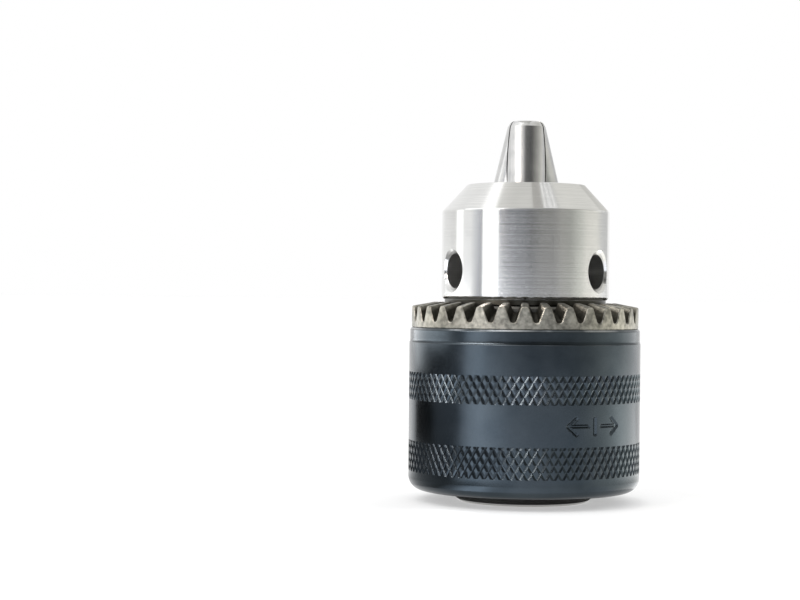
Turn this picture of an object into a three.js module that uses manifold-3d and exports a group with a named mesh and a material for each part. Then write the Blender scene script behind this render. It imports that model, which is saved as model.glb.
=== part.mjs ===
// Keyed three-jaw drill chuck, 1.5 to 13 mm, with a B16 taper socket. Millimetres, +Z up.
// The chuck stands nose up on its rear face: the origin is the centre of that face, on the spindle axis.
// A steel body carries three jaws in angled bores. A split nut, gripped by the toothed gear ring and the
// knurled sleeve, turns in the body's groove and screws the jaws along their bores. The jaws are closed.
import * as THREE from "three";
import { mergeVertices } from "three/addons/utils/BufferGeometryUtils.js";
import Module from "manifold-3d";

const wasm = await Module();
wasm.setup();

// ---- driving dimensions ----
const ROUND = 72; // segments of a turned surface
const THREAD_ROUND = 48; // and of a thread
const DEG = Math.PI / 180;

const NOSE_Z = 58.8; // nose face
const SHOULDER_Z = 37.5; // underside of the body's front section
const FRONT_R = 15.6; // front section
const NOSE_R = 11; // nose face, inside its cone
const NOSE_CONE = 5; // height of the cone
const SHANK_R = 6.75; // central bore for the tool's shank
const SHANK_FLOOR_Z = 32;
const REAR_R = 16.1; // rear section, inside the sleeve
const HUB_R = 11.75; // rear face
const HUB_CONE = 3.2;
const NECK_R = 15;

const SOCKET_R = 7.867; // B16 taper, large end
const SOCKET_TAPER = 1 / 20.02; // on diameter
const SOCKET_DEPTH = 25;
const SOCKET_MOUTH_R = 8.45;

const JAW_ANGLE = 15.5 * DEG; // jaw to spindle axis
const JAW_R = 3.5;
const JAW_BORE_R = 3.65;
const JAW_NOSE_OFFSET = 2.97; // jaw axis to spindle axis at the nose face
const JAW_TIP_Z = 70.7;
const JAW_TAIL_Z = 32.2;
const JAW_BORE_END_Z = 9.5;
const JAW_AZIMUTHS = [270, 30, 150];
const JAW_GAP = 0.36; // between closed jaws
const GRIP_X = 0.6; // gripping flat to spindle axis, closed
const TAIL_BEVEL_X = 13.55; // outer corner taken off the tail, so that an open jaw clears the sleeve
const TEETH_TOP_Z = 58;

const KEY_HOLE_R = 3.2;
const KEY_HOLE_MOUTH_R = 3.95;
const KEY_HOLE_Z = 42.65; // also the apex of the bevel teeth
const KEY_HOLE_AZIMUTHS = [90, 210, 330];

const THREAD_PITCH = 2.1; // jaw travel for one turn of the nut
const THREAD_DEPTH = 1;
const THREAD_CLEARANCE = 0.15;
const THREAD_START_Z = 27.2; // a thread centre at azimuth 0, below the nut
const NUT_BOTTOM_Z = 29.9;
const NUT_TOP_Z = 36.2;
const NUT_R = 16.25;
const NUT_SPLIT = 0.3;
const GROOVE_R = 11.8;
const GROOVE_GAP = 0.2; // nut to groove wall

const GEAR_TEETH = 32;
const GEAR_R = 21.05;
const GEAR_BORE_R = 16.35;
const GEAR_TIP_Z = 36.15; // tooth tips at the rim
const GEAR_CREST_Z = 36.95; // tooth tips at the bore
const GEAR_SKIRT_Z = 29.8;
// Half of a tooth gap at the rim, [half width, z], up past the rounded tooth tips.
const GAP_SIDE = [
  [0.2, 33.28], [0.42, 33.42], [0.59, 33.66], [1.16, 35.25],
  [1.37, 35.82], [1.64, 36.1], [1.94, 36.24], [2, 37.6],
];

const SLEEVE_R = 21.5;
const SLEEVE_COLLAR_R = 21.35;
const SLEEVE_BORE_R = 19.75;
const SLEEVE_BOTTOM_Z = 2;
const SLEEVE_TOP_Z = 32.15;
const COLLAR_Z = 29.5; // underside of the narrower collar
const COLLAR_BEVEL_W = 0.27;
const COLLAR_BEVEL_H = 0.4;
const SLEEVE_EYE_R = 16.4; // round the body's rear section
const SLEEVE_FLOOR_Z = 4.4;
const SLEEVE_FILLET = 2.6;
const FACE_GAP = 0.05; // between pressed pieces

const EDGE = 0.4; // small chamfers
const REACH = 40; // long enough for a cutter to pass through

const steel = (color, roughness) => new THREE.MeshStandardMaterial({ color, roughness, metalness: 1 });
const TURNED_STEEL = steel(0xc9cac8, 0.28);
const GROUND_STEEL = steel(0x9a9a9c, 0.35);
const SINTERED_STEEL = steel(0x9c978a, 0.55);
const BLACK_STEEL = steel(0x2b3138, 0.32);
const NUT_STEEL = steel(0x6d6f72, 0.45);

// ---- helpers ----
const THREAD_STEP_Z = THREAD_PITCH * Math.cos(JAW_ANGLE);

// Distance from the spindle axis to the jaw's axis, and to its outermost line, at height z.
const jawAxisR = (z) => JAW_NOSE_OFFSET + (NOSE_Z - z) * Math.tan(JAW_ANGLE);
const jawOuterR = (z) => jawAxisR(z) + JAW_R / Math.cos(JAW_ANGLE);

// A closed three.js geometry as a solid.
function solid(geometry) {
  const bare = geometry.index ? geometry.toNonIndexed() : geometry.clone();
  bare.deleteAttribute("normal");
  bare.deleteAttribute("uv");
  const merged = mergeVertices(bare, 1e-4);
  const vertProperties = new Float32Array(merged.attributes.position.array);
  const triVerts = new Uint32Array(merged.index.array);
  return new wasm.Manifold(new wasm.Mesh({ numProp: 3, vertProperties, triVerts }));
}

function mesh(name, made, material) {
  const { vertProperties, triVerts } = made.getMesh();
  const geometry = new THREE.BufferGeometry();
  geometry.setAttribute("position", new THREE.BufferAttribute(vertProperties, 3));
  geometry.setIndex(new THREE.BufferAttribute(triVerts, 1));
  geometry.computeVertexNormals();
  const result = new THREE.Mesh(geometry, material);
  result.name = name;
  return result;
}

// A solid turned about Z from [radius, z] points that run up the outside.
function turned(points, segments = ROUND) {
  const profile = points.map(([r, z]) => new THREE.Vector2(r, z));
  return solid(new THREE.LatheGeometry(profile, segments).rotateX(Math.PI / 2));
}

// A ring turned about Z: its profile closes on itself.
const ring = (points, segments) => turned([...points, points[0]], segments);

// [radius, z] points of a quarter round, from angle a0 to a1 about its centre.
function arc(centreR, centreZ, radius, a0, a1, steps = 5) {
  return Array.from({ length: steps + 1 }, (_, i) => {
    const a = (a0 + ((a1 - a0) * i) / steps) * DEG;
    return [centreR + radius * Math.cos(a), centreZ + radius * Math.sin(a)];
  });
}

function tiltedRod(radius, topZ, bottomZ, segments) {
  const length = (topZ - bottomZ) / Math.cos(JAW_ANGLE);
  const middleZ = (topZ + bottomZ) / 2;
  const rod = new THREE.CylinderGeometry(radius, radius, length, segments);
  rod.rotateX(Math.PI / 2); // along Z
  rod.rotateY(-JAW_ANGLE); // top leans to the spindle axis
  rod.translate(jawAxisR(middleZ), 0, middleZ);
  return solid(rod);
}

const turnedTo = (made, azimuth) => made.rotate([0, 0, azimuth]);

// A block of the half plane x > x0 or x < x0, wide and high enough to cut anything here.
function block(x0, side) {
  const box = new THREE.BoxGeometry(REACH, 2 * REACH, 4 * REACH);
  return solid(box.translate(x0 + (side * REACH) / 2, 0, 0));
}

// ---- body ----
function makeBody() {
  const socketR = (z) => SOCKET_R - (z * SOCKET_TAPER) / 2;
  const mouth = SOCKET_MOUTH_R - SOCKET_R;
  let made = turned([
    [0, SOCKET_DEPTH],
    [socketR(SOCKET_DEPTH), SOCKET_DEPTH],
    [socketR(mouth), mouth],
    [SOCKET_MOUTH_R, 0],
    [HUB_R, 0],
    [REAR_R, HUB_CONE],
    [REAR_R, NUT_BOTTOM_Z - GROOVE_GAP],
    [GROOVE_R, NUT_BOTTOM_Z - GROOVE_GAP],
    [GROOVE_R, NUT_TOP_Z + GROOVE_GAP],
    [NECK_R, NUT_TOP_Z + GROOVE_GAP],
    [NECK_R, SHOULDER_Z],
    [FRONT_R - EDGE, SHOULDER_Z],
    [FRONT_R, SHOULDER_Z + EDGE],
    [FRONT_R, NOSE_Z - NOSE_CONE],
    [NOSE_R, NOSE_Z],
    [SHANK_R + EDGE, NOSE_Z],
    [SHANK_R, NOSE_Z - EDGE],
    [SHANK_R, SHANK_FLOOR_Z],
    [0, SHANK_FLOOR_Z - 2],
  ]);
  const jawBore = tiltedRod(JAW_BORE_R, NOSE_Z + 8, JAW_BORE_END_Z, 32);
  for (const azimuth of JAW_AZIMUTHS) made = made.subtract(turnedTo(jawBore, azimuth));
  for (const azimuth of KEY_HOLE_AZIMUTHS) made = made.subtract(turnedTo(keyHole(), azimuth));
  return mesh("body", made, TURNED_STEEL);
}

// The chuck key's pilot hole along +X, from the shank bore out, with a chamfered mouth.
function keyHole() {
  const depth = KEY_HOLE_MOUTH_R - KEY_HOLE_R;
  const start = SHANK_R - 1;
  const hole = new THREE.CylinderGeometry(KEY_HOLE_R, KEY_HOLE_R, REACH - start, 28);
  hole.rotateZ(Math.PI / 2).translate((REACH + start) / 2, 0, KEY_HOLE_Z);
  const flare = new THREE.CylinderGeometry(KEY_HOLE_R, KEY_HOLE_MOUTH_R + depth, 2 * depth, 28);
  flare.rotateZ(Math.PI / 2).translate(FRONT_R, 0, KEY_HOLE_Z);
  return solid(hole).add(solid(flare));
}

// ---- jaws ----
// The room that one closed jaw has between its neighbours, with its gripping flat.
function jawWedge() {
  const edgeY = (x) => (x * Math.sin(60 * DEG) - JAW_GAP / 2) / Math.cos(60 * DEG);
  const far = REACH / 2;
  const outline = new THREE.Shape([
    new THREE.Vector2(GRIP_X, -edgeY(GRIP_X)),
    new THREE.Vector2(far, -edgeY(far)),
    new THREE.Vector2(far, edgeY(far)),
    new THREE.Vector2(GRIP_X, edgeY(GRIP_X)),
  ]);
  const height = JAW_TIP_Z - JAW_TAIL_Z;
  const wedge = new THREE.ExtrudeGeometry(outline, { depth: height, bevelEnabled: false });
  return solid(wedge.translate(0, 0, JAW_TAIL_Z));
}

// One groove of the jaw's thread, as a ring about the spindle axis.
function threadGroove(z) {
  const halfFloor = THREAD_STEP_Z * 0.19;
  const flare = 0.25; // flank, per mm of depth
  const out = THREAD_DEPTH * 2;
  const floorR = (dz) => jawOuterR(z + dz) - THREAD_DEPTH;
  return ring([
    [floorR(-halfFloor), z - halfFloor],
    [floorR(-halfFloor) + out, z - halfFloor - flare * out],
    [floorR(halfFloor) + out, z + halfFloor + flare * out],
    [floorR(halfFloor), z + halfFloor],
  ], THREAD_ROUND);
}

// The jaws differ by a third of a pitch, as they meet the nut's helix at different azimuths.
function makeJaw(number, azimuth) {
  const tipBevel = turned([
    [0, JAW_TAIL_Z - 1],
    [REACH, JAW_TAIL_Z - 1],
    [REACH, NOSE_Z],
    [jawOuterR(JAW_TIP_Z) + 0.2, JAW_TIP_Z - 1],
    [jawOuterR(JAW_TIP_Z) - 0.9, JAW_TIP_Z],
    [0, JAW_TIP_Z],
  ]);
  const rod = tiltedRod(JAW_R, JAW_TIP_Z + 2, JAW_TAIL_Z - 2, 32);
  let made = rod.intersect(jawWedge()).intersect(tipBevel).subtract(block(TAIL_BEVEL_X, 1));
  const first = THREAD_START_Z + THREAD_STEP_Z * (azimuth / 360);
  for (let z = first; z < TEETH_TOP_Z; z += THREAD_STEP_Z) {
    if (z > JAW_TAIL_Z - THREAD_STEP_Z / 2) made = made.subtract(threadGroove(z));
  }
  const jaw = mesh(`jaw_${number}`, made, GROUND_STEEL);
  jaw.rotation.z = azimuth * DEG;
  return jaw;
}

// ---- split nut ----
// The nut's right-hand thread: a ridge that winds down a cone, built turn by turn as a closed band.
function threadRidge() {
  const crestHalf = THREAD_STEP_Z * 0.19 - THREAD_CLEARANCE;
  const rootHalf = crestHalf + 0.25 * THREAD_DEPTH;
  const sink = 0.3; // how far the ridge runs into the nut's wall
  const turns = Math.ceil((NUT_TOP_Z - THREAD_START_Z) / THREAD_STEP_Z) + 1;
  const steps = turns * THREAD_ROUND;
  const position = [];
  const index = [];
  for (let i = 0; i <= steps; i++) {
    const azimuth = (i / THREAD_ROUND) * 2 * Math.PI;
    const z = THREAD_START_Z + (i / THREAD_ROUND - 1) * THREAD_STEP_Z;
    const crestR = jawOuterR(z) - THREAD_DEPTH + THREAD_CLEARANCE;
    const rootR = jawOuterR(z) + THREAD_CLEARANCE + sink;
    const section = [
      [rootR, z - rootHalf],
      [rootR, z + rootHalf],
      [crestR, z + crestHalf],
      [crestR, z - crestHalf],
    ];
    for (const [r, height] of section) {
      position.push(r * Math.cos(azimuth), r * Math.sin(azimuth), height);
    }
  }
  for (let i = 0; i < steps; i++) {
    for (let k = 0; k < 4; k++) {
      const a = 4 * i + k;
      const b = 4 * i + ((k + 1) % 4);
      index.push(a, b + 4, b, a, a + 4, b + 4);
    }
  }
  const end = 4 * steps;
  index.push(0, 1, 2, 0, 2, 3, end, end + 2, end + 1, end, end + 3, end + 2);
  const band = new THREE.BufferGeometry();
  band.setAttribute("position", new THREE.Float32BufferAttribute(position, 3));
  band.setIndex(index);
  return solid(band);
}

function makeNutHalves() {
  const rootR = (z) => jawOuterR(z) + THREAD_CLEARANCE;
  const wall = ring([
    [rootR(NUT_BOTTOM_Z), NUT_BOTTOM_Z],
    [NUT_R - EDGE, NUT_BOTTOM_Z],
    [NUT_R, NUT_BOTTOM_Z + EDGE],
    [NUT_R, NUT_TOP_Z - EDGE],
    [NUT_R - EDGE, NUT_TOP_Z],
    [rootR(NUT_TOP_Z), NUT_TOP_Z],
  ], THREAD_ROUND);
  const room = ring([
    [1, NUT_BOTTOM_Z],
    [NUT_R, NUT_BOTTOM_Z],
    [NUT_R, NUT_TOP_Z],
    [1, NUT_TOP_Z],
  ], THREAD_ROUND);
  const whole = wall.add(threadRidge().intersect(room));
  const half = (side) => whole.subtract(block((side * NUT_SPLIT) / 2, -side));
  return [
    mesh("nut_half_right", half(1), NUT_STEEL),
    mesh("nut_half_left", half(-1), NUT_STEEL),
  ];
}

// ---- gear ring ----
// One tooth gap along +X, which narrows towards the apex on the key's axis.
function toothGap() {
  const outline = new THREE.Shape([
    ...GAP_SIDE.map(([half, z]) => new THREE.Vector2(half, z)),
    ...[...GAP_SIDE].reverse().map(([half, z]) => new THREE.Vector2(-half, z)),
  ]);
  const inner = GEAR_BORE_R - 1;
  const gap = new THREE.ExtrudeGeometry(outline, { depth: GEAR_R + 1 - inner, bevelEnabled: false });
  const at = gap.attributes.position;
  for (let i = 0; i < at.count; i++) {
    const r = inner + at.getZ(i);
    const shrink = r / GEAR_R;
    at.setXYZ(i, r, at.getX(i) * shrink, KEY_HOLE_Z + (at.getY(i) - KEY_HOLE_Z) * shrink);
  }
  return solid(gap);
}

function makeGearRing() {
  let made = ring([
    [GEAR_BORE_R, GEAR_SKIRT_Z],
    [SLEEVE_BORE_R - 2 * FACE_GAP, GEAR_SKIRT_Z],
    [SLEEVE_BORE_R - 2 * FACE_GAP, SLEEVE_TOP_Z + FACE_GAP],
    [GEAR_R, SLEEVE_TOP_Z + FACE_GAP],
    [GEAR_R, GEAR_TIP_Z],
    [GEAR_BORE_R + EDGE, GEAR_CREST_Z],
    [GEAR_BORE_R, GEAR_CREST_Z - EDGE],
  ], GEAR_TEETH * 3);
  const gap = toothGap();
  for (let i = 0; i < GEAR_TEETH; i++) {
    made = made.subtract(turnedTo(gap, ((i + 0.5) * 360) / GEAR_TEETH));
  }
  return mesh("gear_ring", made, SINTERED_STEEL);
}

// ---- sleeve ----
function makeSleeve() {
  const outside = SLEEVE_R - SLEEVE_FILLET;
  const inside = SLEEVE_BORE_R - 1.5;
  const made = ring([
    [SLEEVE_EYE_R, SLEEVE_BOTTOM_Z + EDGE],
    [SLEEVE_EYE_R + EDGE, SLEEVE_BOTTOM_Z],
    ...arc(outside, SLEEVE_BOTTOM_Z + SLEEVE_FILLET, SLEEVE_FILLET, -90, 0, 6),
    [SLEEVE_R, COLLAR_Z],
    [SLEEVE_COLLAR_R, COLLAR_Z + 0.15],
    [SLEEVE_COLLAR_R, SLEEVE_TOP_Z - COLLAR_BEVEL_H],
    [SLEEVE_COLLAR_R - COLLAR_BEVEL_W, SLEEVE_TOP_Z],
    [SLEEVE_BORE_R, SLEEVE_TOP_Z],
    ...arc(inside, SLEEVE_FLOOR_Z + 1.5, 1.5, 0, -90, 2),
    [SLEEVE_EYE_R, SLEEVE_FLOOR_Z],
  ]);
  return mesh("sleeve", made, BLACK_STEEL);
}

// ---- the chuck ----
const chuck = new THREE.Group();
chuck.name = "drill_chuck";

const turningPieces = new THREE.Group(); // what the chuck key turns
turningPieces.add(makeSleeve(), makeGearRing(), ...makeNutHalves());

const jaws = new THREE.Group();
JAW_AZIMUTHS.forEach((azimuth, i) => jaws.add(makeJaw(i + 1, azimuth)));

chuck.add(makeBody(), turningPieces, jaws);

export default chuck;
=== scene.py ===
"""Looks of the keyed three-jaw drill chuck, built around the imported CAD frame.

Lengths inside the builders are millimetres; mesh_object() turns them into metres.
The chuck stands nose up on its rear face, with the spindle axis on Z and its front at -Y.
"""

from math import cos, hypot, pi, radians, sin, tan

import bpy
from mathutils import Matrix, Vector


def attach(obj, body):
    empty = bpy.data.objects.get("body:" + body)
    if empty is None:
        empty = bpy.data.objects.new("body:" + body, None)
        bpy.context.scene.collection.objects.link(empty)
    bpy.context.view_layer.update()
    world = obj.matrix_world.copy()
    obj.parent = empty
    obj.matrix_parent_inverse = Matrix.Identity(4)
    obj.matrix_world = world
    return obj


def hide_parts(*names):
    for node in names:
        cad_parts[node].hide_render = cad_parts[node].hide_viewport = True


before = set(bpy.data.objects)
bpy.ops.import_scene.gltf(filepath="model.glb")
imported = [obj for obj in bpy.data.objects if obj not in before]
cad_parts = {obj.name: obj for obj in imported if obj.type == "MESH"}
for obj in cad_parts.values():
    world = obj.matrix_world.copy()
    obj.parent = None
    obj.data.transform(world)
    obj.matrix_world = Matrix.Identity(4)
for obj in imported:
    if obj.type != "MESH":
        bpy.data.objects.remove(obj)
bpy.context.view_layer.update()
MM = 0.001

# ---- dimensions shared with the CAD ----
NOSE_Z, SHOULDER_Z = 58.8, 37.5
FRONT_R, NOSE_R, NOSE_CONE = 15.6, 11.0, 5.0
EDGE_BREAK = 0.09  # small chamfer on the body's sharp edges
SHANK_R, SHANK_FLOOR_Z = 6.75, 32.0
REAR_R, HUB_R, HUB_CONE = 16.1, 11.75, 3.2
NECK_R, GROOVE_R = 15.0, 11.8
GROOVE_Z0, GROOVE_Z1 = 29.7, 36.4
SOCKET_R, SOCKET_TAPER, SOCKET_DEPTH, SOCKET_MOUTH_R = 7.867, 1 / 20.02, 25.0, 8.45

JAW_ANGLE = radians(15.5)
JAW_R, JAW_BORE_R = 3.5, 3.65
JAW_NOSE_OFFSET = 2.97
JAW_TIP_ROUND = 1.0
JAW_TIP_Z, JAW_TAIL_Z, JAW_BORE_END_Z = 70.7, 32.2, 9.5
JAW_AZIMUTHS = {"jaw_1": 270, "jaw_2": 30, "jaw_3": 150}
JAW_BODIES = {"jaw_1": "jaw_front", "jaw_2": "jaw_right", "jaw_3": "jaw_left"}
JAW_GAP, GRIP_X, TAIL_BEVEL_X = 0.36, 0.6, 13.55
THREAD_STEP_Z = 2.1 * cos(JAW_ANGLE)
THREAD_DEPTH, THREAD_START_Z, TEETH_TOP_Z = 1.0, 27.2, 58.0
JAW_SPREAD = radians(60)  # half of the angle that one jaw has to itself

KEY_HOLE_R, KEY_HOLE_MOUTH_R, KEY_HOLE_Z = 3.2, 3.95, 42.65
KEY_HOLE_AZIMUTHS = (90, 210, 330)

GEAR_TEETH, GEAR_R, GEAR_BORE_R = 32, 21.05, 16.35
GEAR_SKIRT_Z, GEAR_TIP_Z, GEAR_CREST_Z = 29.8, 36.15, 36.95
GEAR_EDGE = 0.15  # chamfer along the teeth's outline at the rim
TOOTH_FLAT, TOOTH_ROUND = 0.17, 0.59  # half of the crest's flat, and its rounding, at the rim
GAP_Z, GAP_FLAT, GAP_ROUND = 33.28, 0.067, 0.52  # the same for the bottom of the gap
GAP_MIDDLE = pi * GEAR_R / GEAR_TEETH  # from the middle of a tooth round to the middle of the gap

SLEEVE_R, SLEEVE_BORE_R, SLEEVE_EYE_R = 21.5, 19.75, 16.4
SLEEVE_BOTTOM_Z, SLEEVE_TOP_Z, SLEEVE_FLOOR_Z = 2.0, 32.15, 4.4
SLEEVE_FILLET, COLLAR_IN = 2.6, 0.15  # round at the rear edge; how far the collar is stepped in

ROUND = 256  # segments of a turned surface
KNURL_STARTS, KNURL_STEPS = 86, 12  # grooves each way round, and mesh columns per groove
KNURL_BANDS = ((5.7, 11.3), (18.9, 23.95))
KNURL_DEPTH = 0.155
KNURL_HELIX = radians(31)
KNURL_FLAT = 0.54  # share of the pitch left flat
MARK_AZIMUTH, MARK_Z, MARK_DEPTH = radians(-54), 15.1, 0.28  # engraved sign for the two ways to turn
MARK_STROKE = 0.38  # half width of its strokes
MARK_BAR, MARK_SHAFT, MARK_HEAD = ((0, 0), (0, 1.4)), ((1.5, 0), (5.3, 0)), ((5.5, 0), (3.9, 1.35))
MARK_REACH, MARK_ROW_Z, MARK_ROWS = 0.4, 0.13, 15  # mesh: half angle (radians), row height, rows each way


# ---- mesh helpers ----
def mesh_object(name, verts, faces, material, sharp):
    """A finished piece from vertices in millimetres; edges steeper than sharp degrees stay sharp."""
    mesh = bpy.data.meshes.new(name)
    mesh.from_pydata([(x * MM, y * MM, z * MM) for x, y, z in verts], [], faces)
    mesh.validate()
    return finish_mesh(name, mesh, material, sharp)


def finish_mesh(name, mesh, material, sharp):
    """A finished piece from a mesh that is in metres already."""
    obj = bpy.data.objects.new(name, mesh)
    bpy.context.scene.collection.objects.link(obj)
    mesh.materials.clear()
    mesh.materials.append(material)
    mesh.shade_smooth()
    mesh.set_sharp_from_angle(angle=radians(sharp))
    return obj


def lathe(points, segments=ROUND, closed=False):
    """Vertices and faces of [radius, z] points turned about Z; points run up the outside."""
    verts, rows = [], []
    for r, z in points:
        if r < 1e-6:
            rows.append([len(verts)] * segments)
            verts.append((0, 0, z))
            continue
        rows.append(list(range(len(verts), len(verts) + segments)))
        angles = [2 * pi * i / segments for i in range(segments)]
        verts += [(r * cos(a), r * sin(a), z) for a in angles]
    faces = []
    for j in range(len(rows) if closed else len(rows) - 1):
        a, b = rows[j], rows[(j + 1) % len(rows)]
        for i in range(segments):
            k = (i + 1) % segments
            face = []
            for v in (a[i], a[k], b[k], b[i]):
                if v not in face:
                    face.append(v)
            faces.append(face)
    return verts, faces


def arc(centre_r, centre_z, radius, a0, a1, steps=8):
    """[radius, z] points of a quarter round from angle a0 to a1, in degrees."""
    angles = [radians(a0 + (a1 - a0) * i / steps) for i in range(steps + 1)]
    return [(centre_r + radius * cos(a), centre_z + radius * sin(a)) for a in angles]


def soften(points, size):
    """Cuts each sharp corner of an open profile back by size, as a small chamfer."""
    out = [points[0]]
    for before, here, after in zip(points, points[1:], points[2:]):
        h = Vector(here)
        for other in (before, after):
            way = Vector(other) - h
            out.append(tuple(h + way.normalized() * min(size, way.length * 0.3)))
    out.append(points[-1])
    return out


def temp_mesh(verts, faces):
    """An object to cut or to cut with, from vertices in millimetres."""
    mesh = bpy.data.meshes.new("cutter")
    mesh.from_pydata([(x * MM, y * MM, z * MM) for x, y, z in verts], [], faces)
    obj = bpy.data.objects.new("cutter", mesh)
    bpy.context.scene.collection.objects.link(obj)
    return obj


def boolean(obj, cutters, operation):
    """Applies one exact boolean with each cutter in turn, then removes the cutters."""
    for cutter in cutters:
        mod = obj.modifiers.new("cut", "BOOLEAN")
        mod.operation = operation
        mod.solver = "EXACT"
        mod.object = cutter
        bpy.context.view_layer.update()
        done = bpy.data.meshes.new_from_object(obj.evaluated_get(bpy.context.evaluated_depsgraph_get()))
        obj.modifiers.clear()
        obj.data = done
        bpy.data.objects.remove(cutter)
    return obj


def turn(verts, degrees):
    """Vertices turned about the spindle axis."""
    c, s = cos(radians(degrees)), sin(radians(degrees))
    return [(x * c - y * s, x * s + y * c, z) for x, y, z in verts]


def rod(radius, start, end, segments):
    """A closed cylinder between two points in the XZ plane, as vertices and faces."""
    a, b = Vector(start), Vector(end)
    way = (b - a).normalized()
    side = Vector((0, 1, 0))
    up = way.cross(side)
    verts = []
    for at in (a, b):
        for i in range(segments):
            t = 2 * pi * i / segments
            verts.append(tuple(at + side * radius * cos(t) + up * radius * sin(t)))
    n = segments
    faces = [[i, (i + 1) % n, n + (i + 1) % n, n + i] for i in range(n)]
    faces += [list(range(n))[::-1], list(range(n, 2 * n))]
    return verts, faces


def prism(outline, z0, z1):
    """A closed upright prism over an outline of [x, y] points that runs anticlockwise."""
    n = len(outline)
    verts = [(x, y, z) for z in (z0, z1) for x, y in outline]
    faces = [list(range(n))[::-1], list(range(n, 2 * n))]
    faces += [[i, (i + 1) % n, n + (i + 1) % n, n + i] for i in range(n)]
    return verts, faces


def jaw_axis_r(z):
    """Distance of the jaw's own axis from the spindle axis at a height."""
    return JAW_NOSE_OFFSET + (NOSE_Z - z) * tan(JAW_ANGLE)


def jaw_outer_r(z):
    """The same for the outermost line of the closed jaw."""
    return jaw_axis_r(z) + JAW_R / cos(JAW_ANGLE)


def tilted_rod(radius, top_z, bottom_z, segments):
    """A closed cylinder along the axis of the jaw at azimuth 0."""
    return rod(radius, (jaw_axis_r(bottom_z), 0, bottom_z), (jaw_axis_r(top_z), 0, top_z), segments)


# ---- materials ----
class Nodes:
    """A short way to write a material's nodes. An input is given a number or another node's output."""

    def __init__(self, name):
        self.material = bpy.data.materials.new(name)
        self.material.use_nodes = True
        self.tree = self.material.node_tree
        self.shader = self.tree.nodes["Principled BSDF"]

    def add(self, kind, settings=None, **inputs):
        """A new node with its settings and inputs; a space in an input's name is written as an underscore."""
        node = self.tree.nodes.new("ShaderNode" + kind)
        for key, value in (settings or {}).items():
            setattr(node, key, value)
        for key, value in inputs.items():
            self.put(node, key.replace("_", " "), value)
        return node

    def put(self, node, socket, value):
        """Sets or links one input, named or given by its place in the list."""
        target = node.inputs[int(socket)] if socket.isdigit() else node.inputs[socket]
        if isinstance(value, bpy.types.NodeSocket):
            self.tree.links.new(value, target)
        else:
            target.default_value = value

    def set(self, **inputs):
        """Inputs of the material's own shader."""
        for key, value in inputs.items():
            self.put(self.shader, key.replace("_", " "), value)

    def math(self, operation, a, b=0.0):
        node = self.add("Math", {"operation": operation})
        self.put(node, "0", a)
        self.put(node, "1", b)
        return node.outputs[0]

    def noise(self, scale, detail, vector=None, w=None):
        """Noise in space, or along one coordinate w, in cycles per metre."""
        settings = {"noise_dimensions": "1D"} if w is not None else None
        node = self.add("TexNoise", settings, Scale=scale, Detail=detail)
        if w is not None:
            self.put(node, "W", w)
        if vector is not None:
            self.put(node, "Vector", vector)
        return node.outputs["Fac"]

    def ramp(self, value, low, high, dark, light):
        """value between low and high mapped onto dark to light (floats or colours)."""
        node = self.add("MapRange", {"data_type": "FLOAT"}, Value=value, From_Min=low, From_Max=high)
        if not isinstance(dark, tuple):
            self.put(node, "To Min", dark)
            self.put(node, "To Max", light)
            return node.outputs["Result"]
        mix = self.add("Mix", {"data_type": "RGBA"})
        self.put(mix, "0", node.outputs["Result"])
        mix.inputs[6].default_value = (*dark, 1)
        mix.inputs[7].default_value = (*light, 1)
        return mix.outputs[2]

    def over(self, colour, share, top):
        """A fixed colour laid over another by a share from 0 to 1."""
        mix = self.add("Mix", {"data_type": "RGBA"})
        self.put(mix, "0", share)
        self.tree.links.new(colour, mix.inputs[6])
        mix.inputs[7].default_value = (*top, 1)
        return mix.outputs[2]

    def average(self, a, b, share=0.5):
        """share of a and the rest of b."""
        return self.math("ADD", self.math("MULTIPLY", a, share), self.math("MULTIPLY", b, 1 - share))

    def bump(self, height, strength, distance_mm, under=None):
        """A surface normal from a height, on top of another one where given."""
        node = self.add("Bump", None, Height=height, Strength=strength, Distance=distance_mm * MM)
        if under is not None:
            self.put(node, "Normal", under)
        return node.outputs["Normal"]

    def place(self):
        """The point on the object, in metres, and its parts."""
        point = self.add("TexCoord").outputs["Object"]
        return point, self.add("SeparateXYZ", None, Vector=point).outputs

    def from_axis(self, part):
        """Distance from the spindle axis, in metres."""
        x, y = (self.math("MULTIPLY", part[axis], part[axis]) for axis in "XY")
        return self.math("SQRT", self.math("ADD", x, y))

    def within(self, value, low, high):
        """1 where a length in metres is between two in millimetres, else 0."""
        above = self.math("GREATER_THAN", value, low * MM)
        return self.math("MULTIPLY", above, self.math("LESS_THAN", value, high * MM))

    def around(self):
        """Tangent that runs round the spindle axis, for turned surfaces."""
        return self.add("Tangent", {"direction_type": "RADIAL", "axis": "Z"}).outputs[0]


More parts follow.
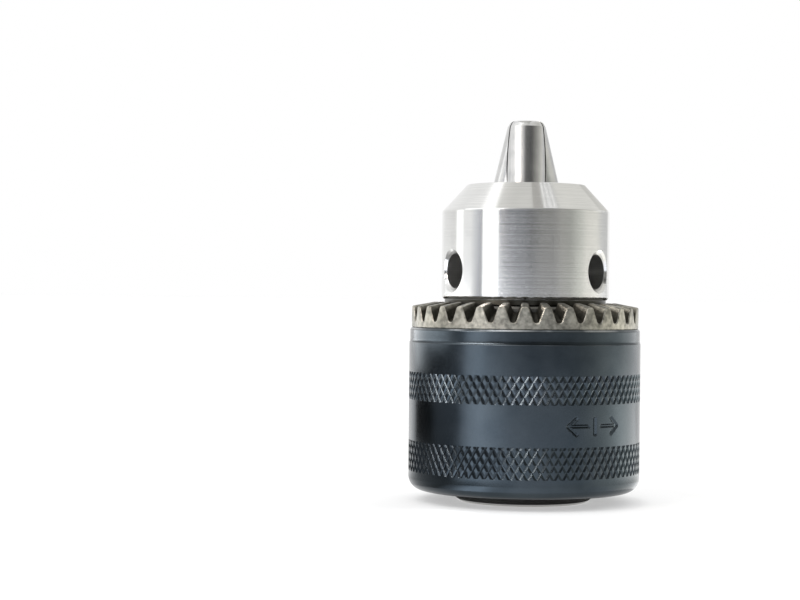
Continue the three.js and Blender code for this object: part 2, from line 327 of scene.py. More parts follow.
def turned_steel():
    """Bright steel with fine lines round the spindle axis from the lathe."""
    n = Nodes("turned_steel")
    point, part = n.place()
    lines = n.noise(6500.0, 2.0, w=part["Z"])
    coarse = n.noise(2600.0, 2.0, w=part["Z"])
    cloud = n.noise(120.0, 3.0, vector=point)
    grain = n.noise(3200.0, 2.0, vector=point)
    colour = n.ramp(n.average(lines, cloud), 0.3, 0.7, (0.67, 0.67, 0.66), (0.82, 0.82, 0.805))
    rough = n.ramp(n.average(coarse, grain), 0.3, 0.7, 0.11, 0.18)
    radius = n.from_axis(part)
    inside = n.math("MULTIPLY", n.within(radius, -1, NECK_R + 0.2), n.math("LESS_THAN", part["Z"], 0.0535))
    # painted shade: the neck below the shoulder is painted dark, and the holes are painted a little darker
    # inside; the holes are also rougher and duller than the outside
    neck = n.within(part["Z"], GROOVE_Z0 - 0.1, SHOULDER_Z - 0.1)
    colour = n.over(colour, n.math("MAXIMUM", neck, n.math("MULTIPLY", inside, 0.28)), (0.05, 0.048, 0.04))
    # the flat rear face is only sawn and matte
    rear = n.math("LESS_THAN", part["Z"], 0.00004)
    n.set(Base_Color=n.over(colour, rear, (0.50, 0.485, 0.40)), Metallic=1.0)
    duller = n.math("ADD", n.math("MULTIPLY", inside, 0.2), n.math("MULTIPLY", rear, 0.25))
    n.set(Roughness=n.math("ADD", rough, duller))
    # the turned lines stop at the key holes
    level = n.math("ABSOLUTE", n.math("SUBTRACT", part["Z"], KEY_HOLE_Z * MM))
    drilled = n.math("MULTIPLY", n.within(radius, -1, FRONT_R - 0.03), n.within(level, -1, 4.5))
    turned = n.math("SUBTRACT", 1.0, drilled)
    n.set(Anisotropic=n.math("MULTIPLY", turned, 0.8), Anisotropic_Rotation=0.25)
    n.set(Normal=n.bump(lines, 0.04, 0.003), Tangent=n.around())
    return n.material


def ground_steel():
    """Hardened jaws: satin grey, ground smooth."""
    n = Nodes("ground_steel")
    point, _ = n.place()
    grain = n.noise(2600.0, 4.0, vector=point)
    cloud = n.noise(350.0, 3.0, vector=point)
    colour = n.ramp(cloud, 0.3, 0.7, (0.60, 0.60, 0.60), (0.72, 0.72, 0.71))
    n.set(Base_Color=colour, Metallic=1.0, Roughness=n.ramp(grain, 0.3, 0.7, 0.20, 0.22))
    return n.material


def nut_steel():
    """Dull grey steel of the threaded nut."""
    n = Nodes("nut_steel")
    point, _ = n.place()
    cloud = n.noise(400.0, 3.0, vector=point)
    n.set(Base_Color=n.ramp(cloud, 0.3, 0.7, (0.09, 0.088, 0.08), (0.16, 0.155, 0.14)), Metallic=1.0)
    n.set(Roughness=n.ramp(n.noise(1500.0, 3.0, vector=point), 0.3, 0.7, 0.35, 0.55))
    return n.material


def sintered_steel():
    """Beige-grey hardened ring with a pitted grain, with painted shade between the teeth and a painted
    highlight along the rim's edges.
    """
    n = Nodes("sintered_steel")
    point, part = n.place()
    grain = n.noise(2200.0, 4.0, vector=point)
    cloud = n.noise(260.0, 3.0, vector=point)
    speck = n.noise(1100.0, 3.0, vector=point)
    colour = n.ramp(n.average(speck, cloud, 0.55), 0.39, 0.61, (0.15, 0.145, 0.124), (0.38, 0.366, 0.312))
    radius = n.from_axis(part)
    # height of this point on its tooth, carried out to the rim along the line to the teeth's apex
    below = n.math("DIVIDE", n.math("SUBTRACT", KEY_HOLE_Z * MM, part["Z"]), radius)
    rim_z = n.math("SUBTRACT", KEY_HOLE_Z * MM, n.math("MULTIPLY", below, GEAR_R * MM))
    depth = n.ramp(rim_z, 0.0350, 0.0359, 1.0, 0.0)
    # painted shade: the gaps between the teeth are painted nearly black, deepest towards their bottoms
    in_gap = n.math("MULTIPLY", depth, n.within(radius, -1, GEAR_R - GEAR_EDGE - 0.02))
    in_gap = n.math("MULTIPLY", in_gap, n.ramp(grain, 0.25, 0.75, 1.0, 0.86))
    colour = n.over(colour, in_gap, (0.028, 0.026, 0.020))
    # painted highlight: the chamfer along the teeth's outline at the rim is painted lighter, in patches
    edge = n.within(radius, GEAR_R - GEAR_EDGE + 0.01, GEAR_R - 0.01)
    edge_highlight = n.math("MULTIPLY", edge, n.ramp(speck, 0.35, 0.65, 0.0, 0.3))
    n.set(Base_Color=n.over(colour, edge_highlight, (0.66, 0.65, 0.60)), Metallic=1.0)
    duller = n.math("MULTIPLY", n.math("MAXIMUM", in_gap, edge), 0.25)
    n.set(Roughness=n.math("ADD", n.ramp(grain, 0.3, 0.7, 0.28, 0.42), duller))
    n.set(Normal=n.bump(speck, 0.3, 0.03, n.bump(grain, 0.25, 0.02)))
    return n.material


def black_steel():
    """Black-oxide finish: bluish black, satin, with faint clouds and turning lines."""
    n = Nodes("black_steel")
    point, part = n.place()
    cloud = n.noise(160.0, 4.0, vector=point)
    grain = n.noise(2400.0, 3.0, vector=point)
    lines = n.noise(5000.0, 2.0, w=part["Z"])
    colour = n.ramp(cloud, 0.3, 0.7, (0.038, 0.049, 0.058), (0.056, 0.069, 0.079))
    # the collar's two edges are painted light grey: partly bare metal worn through the black finish, partly
    # painted highlight, more in some places than others
    patchiness = n.ramp(n.noise(140.0, 5.0, vector=point), 0.42, 0.62, 0.12, 1.0)
    bare_and_highlight = 0.0
    for middle, half, most in ((SLEEVE_TOP_Z - 0.14, 0.24, 0.6), (29.42, 0.07, 0.1)):
        off = n.math("ABSOLUTE", n.math("SUBTRACT", part["Z"], middle * MM))
        share = n.math("MULTIPLY", n.ramp(off, half * 0.75 * MM, half * MM, most, 0.0), patchiness)
        bare_and_highlight = n.math("ADD", share, bare_and_highlight)
    n.set(Base_Color=n.over(colour, bare_and_highlight, (0.55, 0.56, 0.57)), Metallic=1.0)
    n.set(Roughness=n.ramp(n.average(cloud, grain), 0.3, 0.7, 0.16, 0.26))
    n.set(Normal=n.bump(lines, 0.05, 0.008, n.bump(grain, 0.08, 0.01)))
    return n.material


# ---- body ----
def body_profile():
    """[radius, z] points from the taper socket's floor, round the outside, to the shank bore's floor."""
    def socket(z):
        return SOCKET_R - z * SOCKET_TAPER / 2

    mouth = SOCKET_MOUTH_R - SOCKET_R
    outline = [
        (0, SOCKET_DEPTH), (socket(SOCKET_DEPTH), SOCKET_DEPTH), (socket(mouth), mouth), (SOCKET_MOUTH_R, 0),
        (HUB_R, 0), (REAR_R, HUB_CONE), (REAR_R, GROOVE_Z0), (GROOVE_R, GROOVE_Z0), (GROOVE_R, GROOVE_Z1),
        (NECK_R, GROOVE_Z1), (NECK_R, SHOULDER_Z), (FRONT_R - 0.4, SHOULDER_Z), (FRONT_R, SHOULDER_Z + 0.4),
        (FRONT_R, NOSE_Z - NOSE_CONE), (NOSE_R, NOSE_Z), (SHANK_R + 0.4, NOSE_Z), (SHANK_R, NOSE_Z - 0.4),
        (SHANK_R, SHANK_FLOOR_Z), (0, SHANK_FLOOR_Z - 2),
    ]
    return soften(outline, EDGE_BREAK)


def key_hole_cutter():
    """The key's pilot hole along +X with its chamfered mouth, as one turned solid."""
    flare = 2 * (KEY_HOLE_MOUTH_R - KEY_HOLE_R)
    outline = [(0, SHANK_R - 1), (KEY_HOLE_R, SHANK_R - 1), (KEY_HOLE_R, FRONT_R - flare / 2 - 0.05)]
    outline += [(KEY_HOLE_MOUTH_R + flare / 2, FRONT_R + flare / 2), (KEY_HOLE_MOUTH_R + 3, 30), (0, 30)]
    verts, faces = lathe(outline, 96)
    return [(z, -y, x + KEY_HOLE_Z) for x, y, z in verts], faces


def round_normals(mesh):
    """Gives the big turned faces their true normals, so that cut faces shade as smoothly as whole ones."""
    near = 0.03  # how far, in mm, a face's corners may lie from the true cylinder or cone
    slope = (FRONT_R - NOSE_R) / NOSE_CONE
    slant = hypot(NOSE_CONE, FRONT_R - NOSE_R)
    # each surface: lean, radius at z = 0, lowest z, and its normal outwards and up
    cylinder = (0, FRONT_R, SHOULDER_Z, (1, 0))
    cone_normal = (NOSE_CONE / slant, (FRONT_R - NOSE_R) / slant)
    cone = (slope, NOSE_R + NOSE_Z * slope, NOSE_Z - NOSE_CONE - 0.2, cone_normal)
    normals = [Vector(c.vector) for c in mesh.corner_normals]
    for polygon in mesh.polygons:
        points = [mesh.vertices[v].co / MM for v in polygon.vertices]
        for lean, radius, lowest, (out, up) in (cylinder, cone):
            off = max(abs(hypot(p.x, p.y) + p.z * lean - radius) for p in points)
            if off > near or min(p.z for p in points) <= lowest or abs(polygon.normal.z - up) > 0.05:
                continue
            for loop in polygon.loop_indices:
                v = mesh.vertices[mesh.loops[loop].vertex_index].co
                r = hypot(v.x, v.y)
                normals[loop] = Vector((out * v.x / r, out * v.y / r, up))
    mesh.normals_split_custom_set([tuple(v) for v in normals])


def make_body(material):
    """The turned body with its jaw bores and key holes cut."""
    obj = temp_mesh(*lathe(body_profile()))
    cutters = []
    for azimuth in JAW_AZIMUTHS.values():
        verts, faces = tilted_rod(JAW_BORE_R, NOSE_Z + 8, JAW_BORE_END_Z, 96)
        cutters.append(temp_mesh(turn(verts, azimuth), faces))
    for azimuth in KEY_HOLE_AZIMUTHS:
        verts, faces = key_hole_cutter()
        cutters.append(temp_mesh(turn(verts, azimuth), faces))
    boolean(obj, cutters, "DIFFERENCE")
    mesh = obj.data
    bpy.data.objects.remove(obj)
    made = finish_mesh("chuck_body_turned", mesh, material, 12)
    round_normals(mesh)
    return made


# ---- jaws ----
def jaw_wedge():
    """Room of one closed jaw between its neighbours, with its gripping flat."""
    def edge(x):
        return (x * sin(JAW_SPREAD) - JAW_GAP / 2) / cos(JAW_SPREAD)

    far = 30.0
    outline = [(GRIP_X, -edge(GRIP_X)), (far, -edge(far)), (far, edge(far)), (GRIP_X, edge(GRIP_X))]
    return prism(outline, JAW_TAIL_Z, JAW_TIP_Z + 3)


def jaw_ends():
    """A turned solid that rounds the jaw's tip and trims its tail."""
    tip_r = jaw_outer_r(JAW_TIP_Z)
    outline = [(0, JAW_TAIL_Z - 1), (40, JAW_TAIL_Z - 1), (40, NOSE_Z)]
    outline += [(tip_r + 0.2, JAW_TIP_Z - JAW_TIP_ROUND)]
    outline += arc(tip_r - JAW_TIP_ROUND + 0.05, JAW_TIP_Z - JAW_TIP_ROUND, JAW_TIP_ROUND, 20, 90, 8)
    return lathe(outline + [(0, JAW_TIP_Z)], 144)


def thread_groove(z):
    """Ring that cuts one groove of the thread into the jaw's outer side."""
    half, flare, out = THREAD_STEP_Z * 0.19, 0.25, THREAD_DEPTH * 2

    def floor(dz):
        return jaw_outer_r(z + dz) - THREAD_DEPTH

    points = [(floor(-half), z - half), (floor(-half) + out, z - half - flare * out)]
    points += [(floor(half) + out, z + half + flare * out), (floor(half), z + half)]
    return lathe(points, 144, closed=True)


def make_jaw(name, azimuth, material):
    """A jaw made at azimuth 0 and turned to its place, with the thread's phase of that place."""
    obj = temp_mesh(*tilted_rod(JAW_R, JAW_TIP_Z + 2, JAW_TAIL_Z - 2, 128))
    boolean(obj, [temp_mesh(*jaw_wedge()), temp_mesh(*jaw_ends())], "INTERSECT")
    near, far, wide = TAIL_BEVEL_X, TAIL_BEVEL_X + 30, 30
    cutters = [temp_mesh(*prism([(near, -wide), (far, -wide), (far, wide), (near, wide)], 0, 90))]
    z = THREAD_START_Z + THREAD_STEP_Z * azimuth / 360
    while z < TEETH_TOP_Z:
        if z > JAW_TAIL_Z - THREAD_STEP_Z / 2:
            cutters.append(temp_mesh(*thread_groove(z)))
        z += THREAD_STEP_Z
    boolean(obj, cutters, "DIFFERENCE")
    mesh = obj.data
    bpy.data.objects.remove(obj)
    mesh.transform(Matrix.Rotation(radians(azimuth), 4, "Z"))
    return finish_mesh(name + "_ground", mesh, material, 12)


# ---- toothed ring ----
def tooth_outline():
    """Half a tooth at the rim, from its middle to the middle of the gap: [round, z] points."""
    crest = arc(TOOTH_FLAT, GEAR_TIP_Z - TOOTH_ROUND, TOOTH_ROUND, 90, 19, 6)
    root = arc(GAP_MIDDLE - GAP_FLAT, GAP_Z + GAP_ROUND, GAP_ROUND, 200, 270, 5)
    return [(0, GEAR_TIP_Z)] + crest + root + [(GAP_MIDDLE, GAP_Z)]


def inset(outline, size):
    """An open outline moved by size to its right-hand side, towards the metal of the tooth."""
    out = []
    for i, (u, z) in enumerate(outline):
        u0, z0 = outline[max(i - 1, 0)]
        u1, z1 = outline[min(i + 1, len(outline) - 1)]
        way = hypot(u1 - u0, z1 - z0)
        out.append((u + (z1 - z0) / way * size, z - (u1 - u0) / way * size))
    return out


def make_gear_ring(material):
    """The bevel ring: its teeth taper from the rim to an apex on the axis, at the key holes' height."""
    half = tooth_outline()
    whole = [(-u, z) for u, z in half[:0:-1]] + half
    bevel = inset(whole, GEAR_EDGE)
    rim, rim_inset = [], []  # [angle, z] right round, at the rim
    for tooth in range(GEAR_TEETH):
        middle = 2 * pi * tooth / GEAR_TEETH
        rim += [(middle + u / GEAR_R, z) for u, z in whole[:-1]]
        rim_inset += [(middle + u / GEAR_R, z) for u, z in bevel[:-1]]
    count = len(rim)
    verts, rows = [], []

    def row(radius, height, outline=rim):
        """A closed row of vertices; height gives each one's z from its z at the rim."""
        rows.append(list(range(len(verts), len(verts) + count)))
        verts.extend((radius * cos(a), radius * sin(a), height(z)) for a, z in outline)

    def toward_apex(radius):
        """Height along the line from the rim to the apex, cut off at the slanted crest."""
        share = radius / GEAR_R
        rise = (GEAR_CREST_Z - GEAR_TIP_Z) / (GEAR_R - GEAR_BORE_R - 0.4)
        crest = GEAR_TIP_Z + (GEAR_R - radius) * rise
        return lambda z: min(KEY_HOLE_Z + (z - KEY_HOLE_Z) * share, crest - (GEAR_TIP_Z - z) * 0.12)

    spigot = SLEEVE_BORE_R - 0.1
    row(GEAR_BORE_R + 0.25, lambda z: GEAR_SKIRT_Z)
    row(spigot - 0.3, lambda z: GEAR_SKIRT_Z)
    row(spigot, lambda z: GEAR_SKIRT_Z + 0.3)
    row(spigot, lambda z: SLEEVE_TOP_Z + 0.05)
    row(GEAR_R - 0.10, lambda z: SLEEVE_TOP_Z + 0.05)
    row(GEAR_R, lambda z: SLEEVE_TOP_Z + 0.15)
    row(GEAR_R, lambda z: z, rim_inset)
    row(GEAR_R - GEAR_EDGE, lambda z: toward_apex(GEAR_R - GEAR_EDGE)(z) - 0.005)
    for radius in (19.6, 18.2, GEAR_BORE_R + 0.5):
        row(radius, toward_apex(radius))
    row(GEAR_BORE_R + 0.3, lambda z: toward_apex(GEAR_BORE_R + 0.3)(z) - 0.12)
    row(GEAR_BORE_R, lambda z: toward_apex(GEAR_BORE_R)(z) - 0.5)
    row(GEAR_BORE_R, lambda z: GEAR_SKIRT_Z + 0.25)
    faces = []
    for j in range(len(rows)):
        a, b = rows[j], rows[(j + 1) % len(rows)]
        faces += [[a[i], a[(i + 1) % count], b[(i + 1) % count], b[i]] for i in range(count)]
    return mesh_object("gear_ring_toothed", verts, faces, material, 28)


# ---- sleeve ----
def groove(u):
    """0 on the diamond's flat top to 1 at the bottom of the V."""
    v = abs(2 * (u % 1.0) - 1)
    return max(0.0, (v - KNURL_FLAT) / (1 - KNURL_FLAT))


def mark_depth(u, v):
    """How deep the sign is cut, 0 to 1, at a point in mm right and up from its middle: V-shaped strokes.

    The strokes are written for one quarter of the sign, and the others mirror it.
    """
    u, v = abs(u), abs(v)
    deepest = 0.0
    for (u0, v0), (u1, v1) in (MARK_BAR, MARK_SHAFT, MARK_HEAD):
        du, dv = u1 - u0, v1 - v0
        t = min(1.0, max(0.0, ((u - u0) * du + (v - v0) * dv) / (du * du + dv * dv)))
        deepest = max(deepest, 1.0 - hypot(u - u0 - t * du, v - v0 - t * dv) / MARK_STROKE)
    return min(1.0, deepest * 1.4)


def sleeve_rows():
    """[radius, z, knurl] rows from the rear eye up the outside, over the top and down the bore."""
    step = 2 * pi * SLEEVE_R / (KNURL_STARTS * KNURL_STEPS) / tan(KNURL_HELIX)
    rear = [(SLEEVE_EYE_R, SLEEVE_BOTTOM_Z + 0.4), (SLEEVE_EYE_R + 0.4, SLEEVE_BOTTOM_Z)]
    rear += arc(SLEEVE_R - SLEEVE_FILLET, SLEEVE_BOTTOM_Z + SLEEVE_FILLET, SLEEVE_FILLET, -90, 0, 12)
    rows = [(r, z, None) for r, z in rear]
    for low, high in KNURL_BANDS:
        if low > MARK_Z:
            rows += [(SLEEVE_R, MARK_Z + MARK_ROW_Z * j, None) for j in range(-MARK_ROWS, MARK_ROWS + 1)]
        rows += [(SLEEVE_R, low - 0.25, None), (SLEEVE_R, low - 0.05, None)]
        count = round((high - low) / step)
        rows += [(SLEEVE_R, low + (high - low) * j / count, j) for j in range(count + 1)]
        rows += [(SLEEVE_R, high + 0.05, None), (SLEEVE_R, high + 0.25, None)]
    # the collar is stepped in by a soft flare and bevelled at the top
    collar = [(0, 28.6), (0, 29.38), (0.03, 29.43), (0.08, 29.54), (0.12, 29.7), (0.145, 29.9)]
    collar += [(COLLAR_IN, 30.15), (COLLAR_IN, 30.9), (COLLAR_IN, 31.7)]
    collar += [(0.17, 31.77), (0.36, 32.08), (0.44, SLEEVE_TOP_Z)]
    rows += [(SLEEVE_R - inward, z, None) for inward, z in collar]
    inner = [(SLEEVE_BORE_R + 0.2, SLEEVE_TOP_Z), (SLEEVE_BORE_R, SLEEVE_TOP_Z - 0.2)]
    inner += arc(SLEEVE_BORE_R - 1.5, SLEEVE_FLOOR_Z + 1.5, 1.5, 0, -90, 6)
    inner += [(SLEEVE_EYE_R + 0.2, SLEEVE_FLOOR_Z), (SLEEVE_EYE_R, SLEEVE_FLOOR_Z - 0.2)]
    return rows + [(r, z, None) for r, z in inner]


def make_sleeve(material):
    """The sleeve with its knurl and sign cut into the rows."""
    columns = KNURL_STARTS * KNURL_STEPS
    turns = [(cos(2 * pi * i / columns), sin(2 * pi * i / columns)) for i in range(columns)]
    rows = sleeve_rows()
    verts = []
    for radius, z, knurl in rows:
        for i, (c, s) in enumerate(turns):
            r = radius
            if knurl is not None:
                cut = max(groove((i + knurl) / KNURL_STEPS), groove((i - knurl) / KNURL_STEPS))
                r -= KNURL_DEPTH * cut
            elif abs(z - MARK_Z) < MARK_ROW_Z * (MARK_ROWS + 0.5):
                around = (2 * pi * i / columns - MARK_AZIMUTH + pi) % (2 * pi) - pi
                if abs(around) < MARK_REACH:
                    r -= MARK_DEPTH * mark_depth(around * SLEEVE_R, z - MARK_Z)
            verts.append((r * c, r * s, z))
    faces = []
    for j, (_, _, knurl) in enumerate(rows):
        a, b = j * columns, (j + 1) % len(rows) * columns
        knurled = knurl is not None and rows[j + 1][2] is not None
        for i in range(columns):
            k = (i + 1) % columns
            if not knurled:
                faces.append([a + i, a + k, b + k, b + i])
            elif groove((i + knurl + 1) / KNURL_STEPS) > groove((i - knurl) / KNURL_STEPS):
                faces += [[a + i, a + k, b + i], [a + k, b + k, b + i]]
            else:
                faces += [[a + i, a + k, b + k], [a + i, b + k, b + i]]
    return mesh_object("sleeve_knurled", verts, faces, material, 15)


# ---- the chuck ----
body = make_body(turned_steel())
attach(body, "chuck_body")
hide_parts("body")

jaw_material = ground_steel()
for name, azimuth in JAW_AZIMUTHS.items():
    jaw = make_jaw(name, azimuth, jaw_material)
    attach(jaw, JAW_BODIES[name])
    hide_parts(name)

gear = make_gear_ring(sintered_steel())
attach(gear, "sleeve_assembly")
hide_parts("gear_ring")

sleeve = make_sleeve(black_steel())
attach(sleeve, "sleeve_assembly")
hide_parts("sleeve")

# the nut halves are shown as the CAD's own nodes, with a material
nut_material = nut_steel()
for name in ("nut_half_left", "nut_half_right"):
    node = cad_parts[name]
    node.data.materials.clear()
    node.data.materials.append(nut_material)


# ---- stage, lights and camera ----
def flat_material(name, colour, strength=None):
    """A matte colour, or light of that colour when a strength is given."""
    material = bpy.data.materials.new(name)
    material.use_nodes = True
    nodes, links = material.node_tree.nodes, material.node_tree.links
    if strength is None:
        nodes["Principled BSDF"].inputs["Base Color"].default_value = (*colour, 1)
        nodes["Principled BSDF"].inputs["Roughness"].default_value = 0.8
        return material
    nodes.remove(nodes["Principled BSDF"])
    glow = nodes.new("ShaderNodeEmission")
    glow.inputs["Color"].default_value = (*colour, 1)
    glow.inputs["Strength"].default_value = strength
    links.new(glow.outputs[0], nodes["Material Output"].inputs["Surface"])
    return material


def stage_mesh(name, verts, faces, material):
    """A mesh of the studio, in metres, that is no part of the chuck."""
    mesh = bpy.data.meshes.new(name)
    mesh.from_pydata(verts, [], faces)
    mesh.materials.append(material)
    obj = bpy.data.objects.new(name, mesh)
    bpy.context.scene.collection.objects.link(obj)
    return obj


def reflection_band(name, stops, edge_a, edge_b):
    """A band round the chuck between two circles, each (radius, z), seen only in its reflections.

    stops are (angle from the front towards the right, brightness, colour), blended between one and the next.
    """
    verts, faces, glow = [], [], []

    def add(angle, colour):
        for radius, z in (edge_a, edge_b):
            verts.append((radius * sin(radians(angle)), -radius * cos(radians(angle)), z))
            glow.append(colour)

    for (a0, e0, c0), (a1, e1, c1) in zip(stops, stops[1:]):
        steps = max(1, round((a1 - a0) / 4))
        for i in range(steps):
            t = i / steps
            add(a0 + (a1 - a0) * t, [e0 * p + (e1 * q - e0 * p) * t for p, q in zip(c0, c1)])
    add(stops[-1][0], [stops[-1][1] * p for p in stops[-1][2]])
    for i in range(len(verts) // 2 - 1):
        faces.append([2 * i, 2 * i + 2, 2 * i + 3, 2 * i + 1])
    material = flat_material(name, (1, 1, 1), 1.0)
    band = stage_mesh(name, verts, faces, material)
    layer = band.data.color_attributes.new("glow", "FLOAT_COLOR", "POINT")
    for i, colour in enumerate(glow):
        layer.data[i].color = (*colour, 1)
    nodes = material.node_tree.nodes
    reader = nodes.new("ShaderNodeAttribute")
    reader.attribute_name = "glow"
    material.node_tree.links.new(reader.outputs["Color"], nodes["Emission"].inputs["Color"])
    only_in_reflections(band)


def overhead_card(name, x0, x1, strength, colour=(1, 1, 1), y0=-0.3, y1=0.9):
    """A level card above the chuck, seen only in its reflections: the nose cone mirrors these."""
    verts = [(x0, y0, CARD_Z), (x1, y0, CARD_Z), (x1, y1, CARD_Z), (x0, y1, CARD_Z)]
    only_in_reflections(stage_mesh(name, verts, [[0, 1, 2, 3]], flat_material(name, colour, strength)))


def only_in_reflections(obj):
    """Hides a mesh from the camera, the shadows and the matte surfaces."""
    obj.visible_camera = False
    obj.visible_diffuse = False
    obj.visible_shadow = False


def area_light(name, place, target, size, power):
    """A rectangular light that faces a target, all in metres."""
    data = bpy.data.lights.new(name, "AREA")
    data.shape = "RECTANGLE"
    data.size, data.size_y = size
    data.energy = power
    obj = bpy.data.objects.new(name, data)
    bpy.context.scene.collection.objects.link(obj)
    obj.location = place
    obj.rotation_euler = (Vector(target) - Vector(place)).to_track_quat("-Z", "Y").to_euler()


def pale_floor():
    """Matte floor that glows a little, so that the chuck's shadow on it stays faint."""
    material = flat_material("pale_floor", (0.54, 0.54, 0.54))
    shader = material.node_tree.nodes["Principled BSDF"]
    shader.inputs["Emission Color"].default_value = (1, 1, 1, 1)
    shader.inputs["Emission Strength"].default_value = 0.42
    radius, corners = 60.0, 64
    angles = [2 * pi * i / corners for i in range(corners)]
    verts = [(radius * cos(a), radius * sin(a), 0) for a in angles]
    stage_mesh("floor", verts, [list(range(corners))], material)


pale_floor()

WHITE, COOL, WARM, GREENISH = (1, 1, 1), (0.95, 0.98, 1.05), (1.0, 0.99, 0.93), (1.0, 1.02, 0.95)

# what the body mirrors
reflection_band("wall_low", [
    (-150, 0.95, WHITE), (-116, 0.85, WHITE), (-109, 0.9, WHITE), (-107, 1.5, WHITE), (-95, 1.6, WHITE),
    (-93, 1.03, WHITE), (-80, 1.04, WHITE), (-67, 0.7, COOL), (-61, 0.45, COOL), (-58, 1.7, WHITE),
    (-38.5, 1.6, WHITE), (-35.5, 0.25, COOL), (-28, 0.17, COOL), (-20, 0.18, COOL), (-5, 0.18, COOL),
    (8, 0.13, WHITE), (22, 0.23, WARM), (38, 0.25, WARM), (50, 0.36, WARM), (62, 0.36, GREENISH),
    (78, 0.58, GREENISH), (92, 0.76, WARM), (112, 0.77, WARM), (128, 0.64, WHITE), (150, 0.62, WHITE),
], (0.6, 0.036), (0.6, 0.21))
# what the toothed ring, the collar and the upper sleeve mirror
reflection_band("wall_foot", [
    (-150, 1.3, WHITE), (-116, 1.25, WHITE), (-109, 1.3, WHITE), (-107, 2.0, WHITE), (-95, 2.2, WHITE),
    (-93, 1.4, COOL), (-80, 1.15, COOL), (-62, 0.45, COOL), (-57, 3.0, COOL), (-44, 3.2, COOL),
    (-34, 1.2, COOL), (-24, 0.65, COOL), (-5, 0.3, COOL), (8, 0.22, COOL), (22, 0.2, WHITE),
    (38, 0.22, WHITE), (50, 0.3, GREENISH), (62, 0.32, GREENISH), (78, 0.6, GREENISH), (92, 0.95, WARM),
    (112, 1.35, WARM), (128, 1.3, WHITE), (150, 1.3, WHITE),
], (0.6, -0.02), (0.6, 0.036))
# what the flanks of the knurl mirror
reflection_band("wall_middle", [
    (-100, 0.95, WHITE), (-60, 1.2, WHITE), (-46, 1.1, WHITE), (-37, 0.35, WHITE), (-6, 0.25, WHITE),
    (8, 0.22, WHITE), (35, 0.22, WHITE), (60, 0.32, WARM), (80, 0.45, WARM), (112, 0.75, WARM),
    (125, 0.9, WHITE),
], (0.55, 0.2), (0.55, 0.33))
# what the jaws mirror
reflection_band("wall_high", [
    (-100, 1.9, WHITE), (-60, 1.7, WHITE), (-42, 0.85, WHITE), (-34, 0.6, WHITE), (-18, 0.5, WHITE),
    (-6, 0.1, WHITE), (36, 0.08, WHITE), (58, 0.25, WARM), (80, 0.45, WARM), (112, 0.75, WARM),
    (125, 0.9, WHITE),
], (0.55, 0.33), (0.55, 0.6))
# the glints on the knurl
reflection_band("light_high_left", [
    (-70, 2, WHITE), (-60, 20, (1.1, 0.97, 0.9)), (-36, 20, (1.1, 0.97, 0.9)), (-24, 1, WHITE),
], (0.5, 0.215), (0.5, 0.275))
# the dark left side of the sleeve, from the rear edge up
reflection_band("flag_low_left", [
    (-120, 0.9, WHITE), (-97, 0.5, WHITE), (-84, 0.18, WHITE), (-74, 0.18, WHITE), (-62, 0.55, COOL),
    (-53, 1.9, COOL),
], (0.07, -0.01), (0.07, 0.0062))
reflection_band("flag_mid_left", [
    (-120, 0.1, WHITE), (-112, 0.05, WHITE), (-92, 0.05, WHITE), (-82, 0.4, COOL), (-58, 0.5, COOL),
    (-52, 1.9, COOL),
], (0.07, 0.0062), (0.07, 0.0222))
reflection_band("flag_upper_left", [
    (-120, 2.4, WHITE), (-108, 1.7, WHITE), (-97, 0.6, WHITE), (-86, 0.10, WHITE), (-74, 0.08, WHITE),
    (-62, 0.3, COOL), (-54, 0.8, COOL), (-51, 1.8, COOL),
], (0.07, 0.0222), (0.07, 0.0284))
# the bright sides of the collar and the rim
reflection_band("strip_left", [
    (-135, 4.2, WHITE), (-118, 4.0, WHITE), (-88, 4.4, WHITE), (-76, 3.2, WHITE), (-69, 1.2, WHITE),
    (-66, 0.8, WHITE),
], (0.1, 0.0284), (0.1, 0.0355))
reflection_band("strip_right", [
    (88, 1.1, WARM), (105, 1.8, WARM), (135, 2.0, WHITE),
], (0.1, 0.0284), (0.1, 0.0355))
# the floor as the plain band and the lower knurl mirror it
reflection_band("floor_glow", [
    (-150, 1.4, WHITE), (-122, 1.1, WHITE), (-112, 0.3, WHITE), (-92, 0.35, WHITE), (-80, 0.4, COOL),
    (-64, 0.2, COOL), (-55, 2.2, COOL), (-44, 3.1, COOL), (-28, 2.8, COOL), (-12, 1.8, COOL),
    (10, 1.5, COOL), (40, 1.3, COOL), (60, 1.3, WHITE), (82, 1.8, WARM), (104, 3.4, WARM),
    (140, 1.9, WHITE),
], (0.06, 0.0006), (0.6, 0.0006))
# nearer, for the rear fillet
reflection_band("floor_middle", [
    (-150, 1.2, WHITE), (-90, 0.5, WHITE), (-60, 0.3, WHITE), (-40, 0.5, COOL), (-20, 1.0, COOL),
    (0, 1.1, COOL), (40, 1.0, WHITE), (70, 1.3, WARM), (150, 1.4, WHITE),
], (0.034, 0.0006), (0.06, 0.0006))
reflection_band("floor_near", [
    (-150, 1.4, WHITE), (-90, 0.8, WHITE), (-68, 0.45, WHITE), (-57, 0.3, WHITE), (-45, 0.9, COOL),
    (-34, 2.8, COOL), (-26, 2.8, COOL), (-17, 1.5, COOL), (0, 1.25, COOL), (38, 1.0, WHITE),
    (53, 1.2, WHITE), (68, 1.6, WARM), (100, 1.8, WHITE), (150, 1.5, WHITE),
], (0.0228, 0.0006), (0.034, 0.0006))
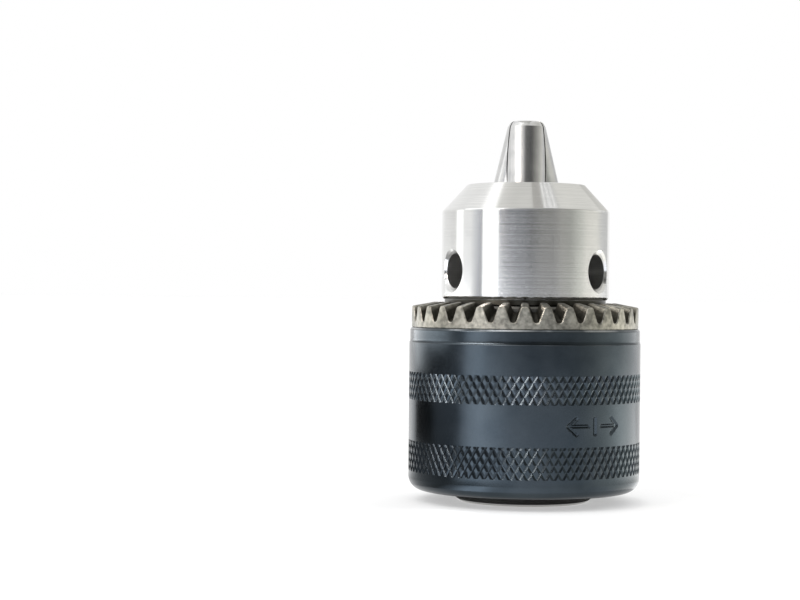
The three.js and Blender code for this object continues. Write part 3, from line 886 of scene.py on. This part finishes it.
# painted shade: a dark ring on the floor, seen only in reflections, stands for the shade in the gap under the
# sleeve
reflection_band("flag_under", [(-180, 0.02, WHITE), (180, 0.02, WHITE)], (0.0118, 0.0004), (0.0172, 0.0004))

CARD_Z, NEAR_Y = 0.6, 0.5  # height of the cards over the floor, and where the nearer ones end
CREAM, SAND, IVORY = (1.0, 0.99, 0.96), (1.0, 0.98, 0.94), (1.0, 0.99, 0.95)
overhead_card("light_top_left", -0.31, -0.21, 1.45, y1=NEAR_Y)
overhead_card("card_top_left", -0.9, -0.31, 1.0)
overhead_card("card_top", -0.21, 0.05, 0.74, CREAM, y1=NEAR_Y)
overhead_card("card_top_right", 0.05, 0.13, 0.5, SAND, y1=NEAR_Y)
for i in range(3):
    x = 0.13 + 0.035 * i
    overhead_card("tube_%d" % (i + 1), x, x + 0.015, 1.3, y1=NEAR_Y)
    overhead_card("gap_%d" % (i + 1), x + 0.015, x + 0.035, 0.55, y1=NEAR_Y)
overhead_card("card_top_far", 0.235, 0.9, 0.82, IVORY)
overhead_card("card_top_back", 0.235, 0.9, 0.68, IVORY, y0=0.9, y1=3.0)

world = bpy.data.worlds.new("studio")
world.use_nodes = True
world.node_tree.nodes["Background"].inputs["Color"].default_value = (1, 1, 1, 1)
world.node_tree.nodes["Background"].inputs["Strength"].default_value = 1.0
bpy.context.scene.world = world

area_light("key_top_left", (-0.5, -0.35, 0.8), (0, 0, 0.03), (0.5, 0.5), 3.0)

EYE = (0, -0.365, 0.0376)  # the camera's place
YAW, TILT, ROLL = 3.668, -0.068, 0.56  # its turn away from +Y, in degrees
camera_data = bpy.data.cameras.new("camera")
camera_data.lens = 87.75
camera_data.sensor_width = 36.0
camera_data.clip_start = 0.01
camera = bpy.data.objects.new("camera", camera_data)
bpy.context.scene.collection.objects.link(camera)
aim = Matrix.Rotation(radians(YAW), 4, "Z") @ Matrix.Rotation(radians(90 + TILT), 4, "X")
camera.matrix_world = Matrix.Translation(EYE) @ aim @ Matrix.Rotation(radians(ROLL), 4, "Z")
bpy.context.scene.camera = camera
bpy.context.scene.view_settings.view_transform = "Standard"
